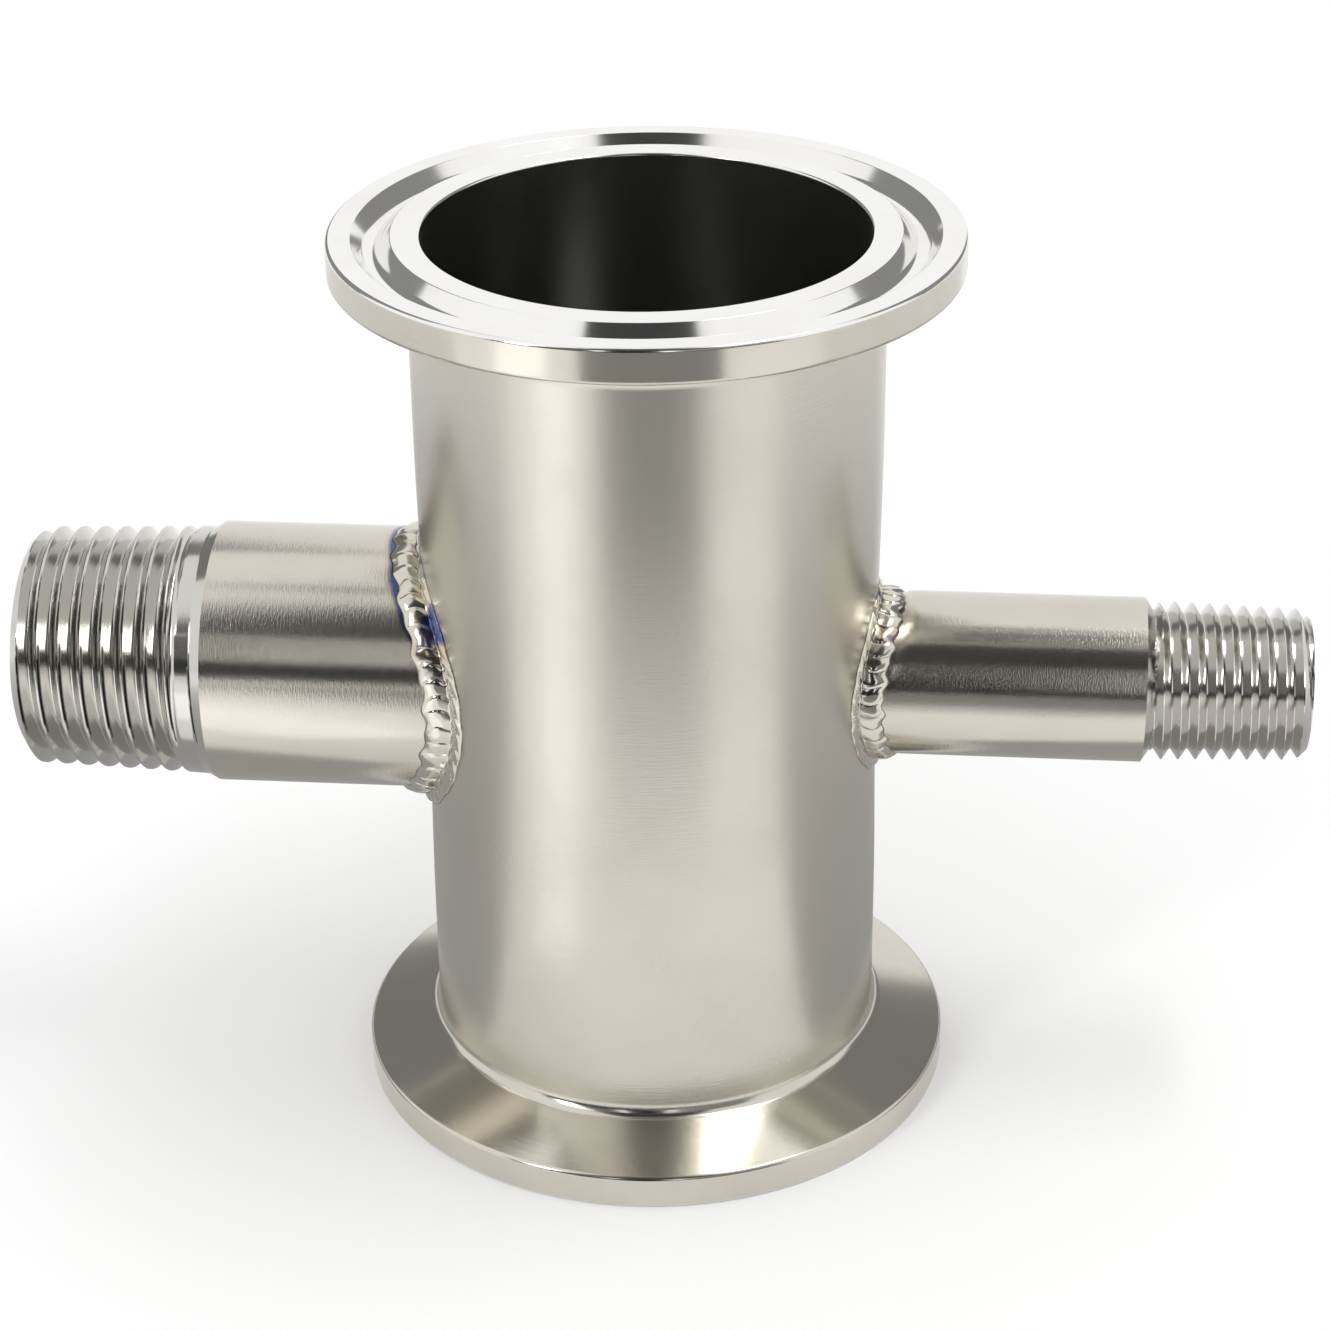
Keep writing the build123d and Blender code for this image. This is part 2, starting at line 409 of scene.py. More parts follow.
def speckle_group():
    """Glittering grain of a blasted or finely sanded surface."""
    tree, given, out = make_group(
        "speckle", "ShaderNodeTree",
        [("Vector", "NodeSocketVector", None), ("Scale", "NodeSocketFloat", 5200.0),
         ("Amount", "NodeSocketFloat", 0.4)],
        [("Height", "NodeSocketFloat"), ("Spark", "NodeSocketFloat")])
    grain = add(tree, "ShaderNodeTexNoise",
                {"Vector": given.outputs["Vector"], "Scale": given.outputs["Scale"], "Detail": 2.0,
                 "Roughness": 0.7})
    spark = add(tree, "ShaderNodeMapRange",
                {"Value": grain.outputs["Fac"], "From Min": 0.60, "From Max": 0.70,
                 "To Min": 0.0, "To Max": 1.0})
    tree.links.new(calc(tree, "MULTIPLY", grain.outputs["Fac"], given.outputs["Amount"]),
                   out.inputs["Height"])
    tree.links.new(calc(tree, "MULTIPLY", spark.outputs[0], given.outputs["Amount"]),
                   out.inputs["Spark"])
    return tree


def heat_tint_group():
    """Oxide colours that fade away from a weld: blue, violet, then straw."""
    tree, given, out = make_group(
        "heat_tint", "ShaderNodeTree",
        [("Vector", "NodeSocketVector", None), ("Distance", "NodeSocketFloat", 0.0),
         ("Width", "NodeSocketFloat", 0.003), ("Metal", "NodeSocketColor", (0.6, 0.6, 0.58, 1)),
         ("Straw", "NodeSocketColor", (0.6, 0.45, 0.2, 1)),
         ("Violet", "NodeSocketColor", (0.2, 0.1, 0.3, 1)),
         ("Blue", "NodeSocketColor", (0.05, 0.1, 0.3, 1))],
        [("Color", "NodeSocketColor")])
    wander = add(tree, "ShaderNodeTexNoise",
                 {"Vector": given.outputs["Vector"], "Scale": 240.0, "Detail": 3.0})
    shift = calc(tree, "MULTIPLY", calc(tree, "SUBTRACT", wander.outputs["Fac"], 0.5), 1.6)
    share = calc(tree, "DIVIDE", given.outputs["Distance"], given.outputs["Width"])
    place = calc(tree, "ADD", share, shift)

    def step(start, end):
        return add(tree, "ShaderNodeMapRange",
                   {"Value": place, "From Min": start, "From Max": end, "To Min": 1.0, "To Max": 0.0},
                   interpolation_type="SMOOTHSTEP").outputs[0]

    def mixed(mask, low, high):
        mix = add(tree, "ShaderNodeMix", {0: mask, 6: low, 7: high}, data_type="RGBA")
        return mix.outputs[2]

    straw = mixed(step(0.45, 1.0), given.outputs["Metal"], given.outputs["Straw"])
    violet = mixed(step(0.15, 0.45), straw, given.outputs["Violet"])
    blue = mixed(step(-0.15, 0.15), violet, given.outputs["Blue"])
    tree.links.new(blue, out.inputs["Color"])
    return tree


def shared_group(name):
    """A shader group by name, built the first time that it is asked for."""
    makers = {"ring_marks": ring_marks_group, "speckle": speckle_group, "heat_tint": heat_tint_group}
    return bpy.data.node_groups.get(name) or makers[name]()


def made_once(maker, colours):
    """The material that the function makes, which bears the function's name, made on first use."""
    return bpy.data.materials.get(maker.__name__) or maker(colours)


def rgba(value):
    """The colour with full opacity."""
    return (*value, 1.0)


class Steel:
    """A steel material being put together: one Principled shader and its object coordinates."""

    def __init__(self, name, roughness, anisotropic=0.0, turned_to_x=False):
        self.material = bpy.data.materials.new(name)
        self.material.use_nodes = True
        self.tree = self.material.node_tree
        self.shader = self.tree.nodes["Principled BSDF"]
        self.shader.inputs["Metallic"].default_value = 1.0
        self.shader.inputs["Roughness"].default_value = roughness
        self.shader.inputs["Anisotropic"].default_value = anisotropic
        self.object = add(self.tree, "ShaderNodeTexCoord").outputs["Object"]
        self.turned = self.object
        if turned_to_x:
            mapping = add(self.tree, "ShaderNodeMapping",
                          {"Vector": self.object, "Location": (-PORT_HEIGHT, 0.0, 0.0),
                           "Rotation": (0.0, radians(90), 0.0)}, vector_type="POINT")
            self.turned = mapping.outputs[0]

    def group(self, name, **values):
        """A shared group's node with its inputs set or linked."""
        node = add(self.tree, "ShaderNodeGroup", node_tree=shared_group(name))
        for key, value in values.items():
            socket = node.inputs[key]
            if isinstance(value, bpy.types.NodeSocket):
                self.tree.links.new(value, socket)
            else:
                socket.default_value = value
        return node

    def bump(self, height, strength, distance, normal=None):
        """The normal that a height gives, on top of another normal if there is one."""
        inputs = {"Height": height, "Strength": strength, "Distance": distance}
        if normal is not None:
            inputs["Normal"] = normal
        return add(self.tree, "ShaderNodeBump", inputs).outputs["Normal"]

    def mix(self, mask, low, high):
        """A colour between two, by the mask."""
        return add(self.tree, "ShaderNodeMix", {0: mask, 6: low, 7: high}, data_type="RGBA").outputs[2]

    def ramp(self, value, low, high, start, end):
        """The value moved from the range low to high into start to end, and held there."""
        return add(self.tree, "ShaderNodeMapRange",
                   {"Value": value, "From Min": low, "From Max": high,
                    "To Min": start, "To Max": end}).outputs[0]

    def wire(self, **sockets):
        """Link what was made to the shader, and give the finished material."""
        for key, value in sockets.items():
            self.tree.links.new(value, self.shader.inputs[key.replace("_", " ")])
        return self.material


# ---------------------------------------------------------------- materials

def ring_tangent(steel, axis):
    """Stretch the shader's highlights across marks that run round the axis."""
    tangent = add(steel.tree, "ShaderNodeTangent", direction_type="RADIAL", axis=axis)
    steel.tree.links.new(tangent.outputs[0], steel.shader.inputs["Tangent"])


def satin_tube_steel(colours):
    """Brushed round the tube, with duller patches and heat tint beside the welds."""
    steel = Steel("satin_tube_steel", 0.26, anisotropic=0.65)
    ring_tangent(steel, "Z")
    marks = steel.group("ring_marks", Vector=steel.object, Lines=7000.0, Run=6.0, Patches=70.0)
    grain = steel.group("speckle", Vector=steel.object, Scale=4200.0, Amount=0.35)
    patchy = steel.mix(steel.ramp(marks.outputs["Patch"], 0.35, 0.75, 0.0, 0.55),
                       rgba(colours.satin), rgba(colours.shade))
    x, y, z = add(steel.tree, "ShaderNodeSeparateXYZ", {0: steel.object}).outputs
    height = calc(steel.tree, "SUBTRACT", z, PORT_HEIGHT)
    square = calc(steel.tree, "ADD", calc(steel.tree, "MULTIPLY", y, y),
                  calc(steel.tree, "MULTIPLY", height, height))
    from_axis = calc(steel.tree, "SQRT", square)
    right = calc(steel.tree, "GREATER_THAN", x, 0.0)
    edge = calc(steel.tree, "MULTIPLY_ADD", right, SMALL_BODY_R - LARGE_BODY_R, LARGE_BODY_R + 0.9 * MM)
    tint = steel.group("heat_tint", Vector=steel.object,
                       Distance=calc(steel.tree, "SUBTRACT", from_axis, edge), Width=0.7 * MM,
                       Metal=patchy, Straw=rgba(colours.straw), Violet=rgba(colours.violet),
                       Blue=rgba(colours.blue))
    lines = steel.bump(marks.outputs["Height"], 0.30, 0.02 * MM)
    both = steel.bump(grain.outputs["Height"], 0.08, 0.02 * MM, lines)
    rough = steel.ramp(marks.outputs["Patch"], 0.3, 0.8, 0.22, 0.30)
    return steel.wire(Base_Color=tint.outputs["Color"], Normal=both, Roughness=rough)


def bore_steel_painted_shade(colours):
    """The bore's wall: dull, with turning lines; its darker colour is painted shade for the inside of the
    bore.
    """
    steel = Steel("bore_steel_painted_shade", 0.22)
    marks = steel.group("ring_marks", Vector=steel.object, Lines=5000.0, Run=2.0, Patches=60.0)
    colour_node = steel.mix(steel.ramp(marks.outputs["Patch"], 0.3, 0.8, 0.0, 0.6),
                            rgba(colours.bore), rgba(colours.cut))
    lines = steel.bump(marks.outputs["Height"], 0.35, 0.03 * MM)
    return steel.wire(Base_Color=colour_node, Normal=lines)


def polished_face_steel(colours):
    """Bright turned face of the flange."""
    steel = Steel("polished_face_steel", 0.10)
    marks = steel.group("ring_marks", Vector=steel.object, Lines=9000.0, Run=1.5, Patches=120.0)
    lines = steel.bump(marks.outputs["Height"], 0.10, 0.01 * MM)
    rough = steel.ramp(marks.outputs["Patch"], 0.3, 0.8, 0.08, 0.16)
    shade = steel.mix(steel.ramp(marks.outputs["Patch"], 0.3, 0.8, 0.0, 0.25),
                      rgba(colours.polished), rgba(colours.satin))
    return steel.wire(Base_Color=shade, Normal=lines, Roughness=rough)


def flange_side_steel(colours):
    """Satin rim and back cone of the flange."""
    steel = Steel("flange_side_steel", 0.2)
    marks = steel.group("ring_marks", Vector=steel.object, Lines=6000.0, Run=2.0, Patches=110.0)
    grain = steel.group("speckle", Vector=steel.object, Scale=3800.0, Amount=0.5)
    shade = steel.mix(steel.ramp(marks.outputs["Patch"], 0.35, 0.75, 0.0, 0.7),
                      rgba(colours.satin), rgba(colours.shade))
    lines = steel.bump(marks.outputs["Height"], 0.12, 0.02 * MM)
    both = steel.bump(grain.outputs["Height"], 0.12, 0.02 * MM, lines)
    rough = steel.ramp(marks.outputs["Patch"], 0.3, 0.8, 0.13, 0.2)
    return steel.wire(Base_Color=shade, Normal=both, Roughness=rough)


def nipple_body_steel(colours, side, weld_leg):
    """Plain part of a nipple: satin, speckled, tinted beside the upper part of the weld."""
    steel = Steel(f"nipple_body_steel_{'large' if side < 0 else 'small'}", 0.24, turned_to_x=True)
    marks = steel.group("ring_marks", Vector=steel.turned, Lines=7600.0, Run=20.0, Patches=130.0)
    grain = steel.group("speckle", Vector=steel.object, Scale=3600.0, Amount=0.6)
    shade = steel.mix(steel.ramp(marks.outputs["Patch"], 0.35, 0.75, 0.0, 0.5),
                      rgba(colours.satin), rgba(colours.shade))
    x, y, z = add(steel.tree, "ShaderNodeSeparateXYZ", {0: steel.object}).outputs
    outward = calc(steel.tree, "MULTIPLY", x, float(side))
    chord = calc(steel.tree, "SUBTRACT", TUBE_R * TUBE_R, calc(steel.tree, "MULTIPLY", y, y))
    saddle = calc(steel.tree, "SQRT", calc(steel.tree, "MAXIMUM", chord, 0.0))
    from_weld = calc(steel.tree, "SUBTRACT", calc(steel.tree, "SUBTRACT", outward, saddle), weld_leg)
    cool = steel.ramp(z, PORT_HEIGHT + 7 * MM, PORT_HEIGHT + 4 * MM, 0.0, 1.5 * MM)
    from_weld = calc(steel.tree, "ADD", from_weld, cool)
    tint = steel.group("heat_tint", Vector=steel.object, Distance=from_weld, Width=0.6 * MM,
                       Metal=shade, Straw=rgba(colours.straw), Violet=rgba(colours.violet),
                       Blue=rgba(colours.blue))
    lines = steel.bump(marks.outputs["Height"], 0.34, 0.03 * MM)
    both = steel.bump(grain.outputs["Height"], 0.15, 0.02 * MM, lines)
    rough = steel.ramp(grain.outputs["Spark"], 0.0, 1.0, 0.17, 0.12)
    return steel.wire(Base_Color=tint.outputs["Color"], Normal=both, Roughness=rough)


def thread_steel(colours, torn):
    """Bright cut thread; torn adds the dark stretches where the crests are torn."""
    steel = Steel("thread_steel_torn" if torn else "thread_steel", 0.14, turned_to_x=True)
    marks = steel.group("ring_marks", Vector=steel.turned, Lines=11000.0, Run=2.0, Patches=160.0)
    shade = steel.mix(steel.ramp(marks.outputs["Patch"], 0.35, 0.8, 0.0, 0.4),
                      rgba(colours.cut), rgba(colours.shade))
    lines = steel.bump(marks.outputs["Height"], 0.16, 0.012 * MM)
    if torn:
        tear = add(steel.tree, "ShaderNodeAttribute", attribute_name="tear").outputs["Fac"]
        shade = steel.mix(tear, shade, rgba(colours.scorch))
        rough = steel.ramp(tear, 0.0, 1.0, 0.14, 0.7)
        return steel.wire(Base_Color=shade, Normal=lines, Roughness=rough)
    return steel.wire(Base_Color=shade, Normal=lines)


def weld_steel(colours):
    """Rippled weld metal with oxide colours in patches."""
    steel = Steel("weld_steel", 0.14)
    clouds = add(steel.tree, "ShaderNodeTexNoise",
                 {"Vector": steel.object, "Scale": 190.0, "Detail": 3.0, "Roughness": 0.6})
    z = add(steel.tree, "ShaderNodeSeparateXYZ", {0: steel.object}).outputs[2]
    below = steel.ramp(z, PORT_HEIGHT + 4 * MM, PORT_HEIGHT - 2 * MM, 0.0, 0.16)
    coolness = calc(steel.tree, "ADD", clouds.outputs["Fac"], below)
    tint = steel.group("heat_tint", Vector=steel.object,
                       Distance=steel.ramp(coolness, 0.40, 0.54, 0.0, 1.4), Width=1.0,
                       Metal=rgba(colours.satin), Straw=rgba(colours.straw),
                       Violet=rgba(colours.violet), Blue=rgba(colours.blue))
    marks = add(steel.tree, "ShaderNodeTexNoise",
                {"Vector": steel.object, "Scale": 2600.0, "Detail": 3.0, "Roughness": 0.6})
    fine = steel.bump(marks.outputs["Fac"], 0.25, 0.02 * MM)
    rough = steel.ramp(clouds.outputs["Fac"], 0.35, 0.7, 0.20, 0.08)
    return steel.wire(Base_Color=tint.outputs["Color"], Normal=fine, Roughness=rough)


# ---------------------------------------------------------------- geometry trees

def taper_thread_tree():
    """A sleeve with a taper thread cut into it, from the shoulder to the threaded end.

    The sleeve's grid is sheared along the helix, so its lines follow crests and roots.
    """
    floats = ("Side", "Axis Height", "Start", "End", "Shoulder Radius", "End Radius", "Taper", "Pitch",
              "Depth", "First Crest", "Crest Flat", "Root Flat", "Run-out Depth", "Fade", "Fade Start",
              "End Chamfer", "Tear")
    inputs = [("Geometry", "NodeSocketGeometry", None), ("Segments", "NodeSocketInt", 360),
              ("Rows per Pitch", "NodeSocketInt", 16)]
    inputs += [(label, "NodeSocketFloat", 0.0) for label in floats]
    inputs += [("Seed", "NodeSocketFloat", 3.0), ("Material", "NodeSocketMaterial", None)]
    tree, given, out = make_group("taper_thread", "GeometryNodeTree", inputs,
                                  [("Geometry", "NodeSocketGeometry")])
    value = given.outputs

    def m(operation, *values):
        return calc(tree, operation, *values)

    row = m("DIVIDE", value["Pitch"], value["Rows per Pitch"])
    rows = m("CEIL", m("DIVIDE", m("ADD", m("SUBTRACT", value["End"], value["Start"]), value["Pitch"]),
                       row))
    grid = add(tree, "GeometryNodeMeshGrid",
               {"Size X": 1.0, "Size Y": m("MULTIPLY", rows, row),
                "Vertices X": m("ADD", value["Segments"], 1.0), "Vertices Y": m("ADD", rows, 1.0)})
    px, py, _ = add(tree, "ShaderNodeSeparateXYZ",
                    {0: add(tree, "GeometryNodeInputPosition").outputs[0]}).outputs
    turn_share = m("ADD", px, 0.5)
    along = m("ADD", py, m("MULTIPLY", m("MULTIPLY", rows, row), 0.5))
    helix = m("MULTIPLY", turn_share, value["Pitch"])
    raw = m("ADD", m("ADD", m("SUBTRACT", value["Start"], value["Pitch"]), along), helix)
    s = m("MINIMUM", m("MAXIMUM", raw, value["Start"]), value["End"])
    half_turn = m("MULTIPLY", value["Pitch"], 0.5)
    phase = m("DIVIDE", m("SUBTRACT", m("SUBTRACT", s, helix),
                          m("SUBTRACT", value["First Crest"], half_turn)), value["Pitch"])
    wave = m("ABSOLUTE", m("SUBTRACT", m("MULTIPLY", m("FRACT", phase), 2.0), 1.0))
    free = m("SUBTRACT", m("SUBTRACT", 1.0, value["Root Flat"]), value["Crest Flat"])
    lift = m("DIVIDE", m("SUBTRACT", wave, value["Root Flat"]), free)
    lift = m("MINIMUM", m("MAXIMUM", lift, 0.0), 1.0)
    fade = m("DIVIDE", m("SUBTRACT", s, value["Fade Start"]), value["Fade"])
    fade = m("MINIMUM", m("MAXIMUM", fade, 0.0), 1.0)
    cut = m("MULTIPLY", m("MULTIPLY", m("SUBTRACT", 1.0, lift), value["Depth"]), fade)
    cone = m("MULTIPLY_ADD", m("SUBTRACT", value["End"], s), value["Taper"], value["End Radius"])
    thread = m("SUBTRACT", cone, cut)
    middle = m("ADD", value["Start"], half_turn)
    beyond = m("MAXIMUM", m("SUBTRACT", s, middle), 0.0)
    groove = m("SUBTRACT", m("MULTIPLY_ADD", beyond, RUN_OUT_SLOPE, cone), value["Run-out Depth"])
    groove = m("MINIMUM", thread, groove)
    shoulder_drop = m("SUBTRACT", value["Shoulder Radius"],
                      m("SUBTRACT", m("MULTIPLY_ADD", m("SUBTRACT", value["End"], middle),
                                      value["Taper"], value["End Radius"]), value["Run-out Depth"]))
    slope = m("DIVIDE", shoulder_drop, half_turn)
    shoulder = m("SUBTRACT", value["Shoulder Radius"],
                 m("MULTIPLY", m("SUBTRACT", s, value["Start"]), slope))
    before = m("LESS_THAN", s, middle)
    near = m("MAXIMUM", groove, shoulder)
    body = m("ADD", m("MULTIPLY", before, shoulder), m("MULTIPLY", m("SUBTRACT", 1.0, before), near))
    chamfer = m("ADD", m("SUBTRACT", value["End Radius"], value["End Chamfer"]),
                m("SUBTRACT", value["End"], s))
    radius = m("MINIMUM", body, chamfer)

    turn = m("MULTIPLY", turn_share, 2 * pi)
    ring_y = m("MULTIPLY", radius, m("COSINE", turn))
    ring_z = m("MULTIPLY", m("MULTIPLY", radius, m("SINE", turn)), value["Side"])
    where = add(tree, "ShaderNodeCombineXYZ",
                {0: m("MULTIPLY", s, value["Side"]), 1: ring_y,
                 2: m("ADD", ring_z, value["Axis Height"])}).outputs[0]

    # torn stretches lie beside the crests, on the front of the thread
    torn_phase, torn_turn = 0.89, 0.51
    noise = add(tree, "ShaderNodeTexNoise",
                {"Vector": where, "Scale": 430.0, "Detail": 3.0, "Roughness": 0.7, "W": value["Seed"]},
                noise_dimensions="4D")
    broad = add(tree, "ShaderNodeTexNoise",
                {"Vector": where, "Scale": 120.0, "Detail": 1.0, "W": value["Seed"]},
                noise_dimensions="4D")
    side_of_crest = m("FRACT", phase)
    band = add(tree, "ShaderNodeMapRange",
               {"Value": m("ABSOLUTE", m("SUBTRACT", side_of_crest, torn_phase)), "From Min": 0.0,
                "From Max": 0.07, "To Min": 1.0, "To Max": 0.0}).outputs[0]
    front = add(tree, "ShaderNodeMapRange",
                {"Value": m("ABSOLUTE", m("SUBTRACT", turn_share, torn_turn)), "From Min": 0.04,
                 "From Max": 0.095, "To Min": 1.0, "To Max": 0.0}).outputs[0]
    ragged = m("MULTIPLY_ADD", noise.outputs["Fac"], 1.1, m("MULTIPLY", broad.outputs["Fac"], 1.1))
    score = m("MULTIPLY", m("MULTIPLY", m("MULTIPLY", band, front), ragged), value["Tear"])
    tear = add(tree, "ShaderNodeMapRange",
               {"Value": score, "From Min": 0.42, "From Max": 0.50, "To Min": 0.0,
                "To Max": 1.0}).outputs[0]

    stored = add(tree, "GeometryNodeStoreNamedAttribute",
                 {"Geometry": grid.outputs["Mesh"], "Name": "tear", "Value": tear},
                 data_type="FLOAT", domain="POINT")
    placed = add(tree, "GeometryNodeSetPosition", {"Geometry": stored.outputs[0], "Position": where})
    merged = add(tree, "GeometryNodeMergeByDistance",
                 {"Geometry": placed.outputs[0], "Distance": 0.002 * MM})
    real = add(tree, "GeometryNodeRealizeInstances", {"Geometry": merged.outputs[0]})
    painted = add(tree, "GeometryNodeSetMaterial",
                  {"Geometry": real.outputs[0], "Material": value["Material"]})
    tree.links.new(painted.outputs[0], out.inputs[0])
    return tree


def weld_ripples_tree():
    """Overlapping ripples along a bead whose points carry "along", "across" and "open" attributes."""
    tree, given, out = make_group(
        "weld_ripples", "GeometryNodeTree",
        [("Geometry", "NodeSocketGeometry", None), ("Ripples", "NodeSocketInt", 50),
         ("Height", "NodeSocketFloat", 0.0001), ("Crescent", "NodeSocketFloat", 0.8),
         ("Unevenness", "NodeSocketFloat", 0.00012), ("Seed", "NodeSocketFloat", 1.0),
         ("Material", "NodeSocketMaterial", None)],
        [("Geometry", "NodeSocketGeometry")])
    value = given.outputs

    def m(operation, *values):
        return calc(tree, operation, *values)

    def read(name):
        return add(tree, "GeometryNodeInputNamedAttribute", {"Name": name},
                   data_type="FLOAT").outputs["Attribute"]

    along, across, wet = read("along"), read("across"), read("open")
    bow = m("MULTIPLY", m("MULTIPLY", m("SUBTRACT", across, 0.35), m("SUBTRACT", across, 0.35)),
            value["Crescent"])
    jitter = add(tree, "ShaderNodeTexNoise",
                 {"Vector": add(tree, "GeometryNodeInputPosition").outputs[0], "Scale": 260.0,
                  "Detail": 2.0, "W": value["Seed"]}, noise_dimensions="4D").outputs["Fac"]
    phase = m("ADD", m("MULTIPLY", along, value["Ripples"]),
              m("ADD", m("MULTIPLY", bow, 4.0), m("MULTIPLY", m("SUBTRACT", jitter, 0.5), 1.4)))
    part = m("FRACT", phase)
    scale = m("MULTIPLY", m("POWER", part, 0.6), m("SUBTRACT", 1.0, m("POWER", part, 9.0)))
    height = m("MULTIPLY", m("MULTIPLY", scale, value["Height"]), wet)
    uneven = m("MULTIPLY", m("MULTIPLY", m("SUBTRACT", jitter, 0.5), value["Unevenness"]), wet)
    offset = add(tree, "ShaderNodeVectorMath",
                 {0: add(tree, "GeometryNodeInputNormal").outputs["Normal"],
                  "Scale": m("ADD", height, uneven)}, operation="SCALE").outputs[0]
    moved = add(tree, "GeometryNodeSetPosition", {"Geometry": value["Geometry"], "Offset": offset})
    real = add(tree, "GeometryNodeRealizeInstances", {"Geometry": moved.outputs[0]})
    painted = add(tree, "GeometryNodeSetMaterial",
                  {"Geometry": real.outputs[0], "Material": value["Material"]})
    tree.links.new(painted.outputs[0], out.inputs[0])
    return tree


# ---------------------------------------------------------------- shapes

def tube_radius(z):
    """Outside radius of the tube at a height: the welds have drawn the wall in beside the ports."""
    sizes = bpy.context.scene.spool_tube
    share = min(1.0, abs(z - PORT_HEIGHT) / sizes.draw_span)
    return TUBE_R - sizes.draw_in * (1 - share * share * (3 - 2 * share))


def saddle_reach(y, z):
    """Distance from the spool's axis plane to the tube's outside at that y and z."""
    radius = tube_radius(z)
    return sqrt(max(radius * radius - y * y, 0.0))


def around_z(base=0.0, direction=1):
    """place() for a ring round the bore; base and direction put it at either end of the spool."""
    def place(s, r, turn, normal=False):
        height = direction * s if normal else base + direction * s
        return (r * cos(turn), r * sin(turn) * direction, height)
    return place


def around_nipple(side):
    """place() for a ring round a nipple's axis; s runs outwards."""
    def place(s, r, turn, normal=False):
        height = 0.0 if normal else PORT_HEIGHT
        return (side * s, r * cos(turn), height + side * r * sin(turn))
    return place


def ferrule_outline(sizes):
    """Outline of the ferrule's section as (s, r) corners with their roundings."""
    middle = FLANGE_R - sizes.groove_inset
    half = sizes.groove_half_width
    apex = half * tan(sizes.groove_wall)
    rise = (FLANGE_R - TUBE_R) * tan(sizes.clamp_angle)
    corners = [
        (0.0, BORE_R, sizes.bore_edge),
        (SEAM_HEIGHT, BORE_R, 0.0),
        (SEAM_HEIGHT, TUBE_R, 0.0),
        (sizes.rim_thickness + rise, TUBE_R, sizes.neck_fillet),
        (sizes.rim_thickness, FLANGE_R, sizes.back_edge),
        (0.0, FLANGE_R, sizes.face_edge),
        (0.0, middle + half, sizes.groove_lip),
        (apex, middle, sizes.groove_bottom),
        (0.0, middle - half, sizes.groove_lip),
    ]
    return rounded_outline(corners)


def ferrule_slots(outline, sizes):
    """0 polished face, 1 rim and cone, 2 bore, 3 brushed neck, for the band after each point."""
    slots = []
    for index, (s, r, _, _) in enumerate(outline):
        after = outline[(index + 1) % len(outline)]
        mean_r = (r + after[1]) / 2
        mean_s = (s + after[0]) / 2
        if mean_r < BORE_R + SKIN:
            slots.append(2)
        elif mean_s < sizes.rim_thickness * 0.6 and mean_r < FLANGE_R - SKIN:
            slots.append(0)
        elif mean_r < TUBE_R + 0.1 * MM:
            slots.append(3)
        else:
            slots.append(1)
    return slots


def tube_mesh():
    """The drawn-in tube with both port holes cut through it."""
    rings = 40
    low, high = SEAM_HEIGHT, SPOOL_LENGTH - SEAM_HEIGHT
    heights = [low + (high - low) * index / rings for index in range(rings + 1)]
    wall = TUBE_R - BORE_R
    outline = [(z, tube_radius(z) - wall, 0.0, -1.0) for z in heights]
    outline += [(z, tube_radius(z), 0.0, 1.0) for z in reversed(heights)]
    tube = revolve("body_tube_wall", outline, around_z(), segments=240)
    cutters = []
    for side, radius in ((-1, LARGE_BORE_R), (1, SMALL_BORE_R)):
        ends = [(0.0, 0.0, -1.0, 0.0), (0.0, radius, 0.0, 1.0), (TUBE_R + MM, radius, 0.0, 1.0),
                (TUBE_R + MM, 0.0, 1.0, 0.0)]
        cutter = revolve("port_cutter", ends, around_nipple(side), segments=144)
        weld_shut(cutter.data, 0.001 * MM)
        cut = tube.modifiers.new("port", "BOOLEAN")
        cut.operation = "DIFFERENCE"
        cut.solver = "EXACT"
        cut.object = cutter
        cutters.append(cutter)
    weld_shut(tube.data, 0.001 * MM)
    baked(tube)
    for cutter in cutters:
        bpy.data.objects.remove(cutter)
    shade_tube(tube.data)
    return tube


def shade_tube(mesh):
    """Exact normals on the tube's walls and holes, so that the cut faces shade smoothly."""
    wall = TUBE_R - BORE_R
    normals = [Vector((0, 0, 1))] * len(mesh.loops)
    for face in mesh.polygons:
        centre = face.center
        from_axis = hypot(centre.x, centre.y)
        outer = tube_radius(centre.z)
        flat_end = abs(face.normal.z) > 0.9
        on_outer = abs(from_axis - outer) < SKIN and not flat_end
        on_inner = abs(from_axis - outer + wall) < SKIN and not flat_end
        face.material_index = 1 if on_inner else 0
        for index in face.loop_indices:
            point = mesh.vertices[mesh.loops[index].vertex_index].co
            if flat_end:
                normals[index] = face.normal.copy()
            elif on_outer or on_inner:
                step = 0.1 * MM
                slope = (tube_radius(point.z + step) - tube_radius(point.z - step)) / (2 * step)
                radial = Vector((point.x, point.y, 0)).normalized() - Vector((0, 0, slope))
                normals[index] = radial.normalized() * (1 if on_outer else -1)
            else:
                inward = Vector((0, -point.y, PORT_HEIGHT - point.z))
                normals[index] = inward.normalized()
    mesh.shade_smooth()
    mesh.normals_split_custom_set(normals)


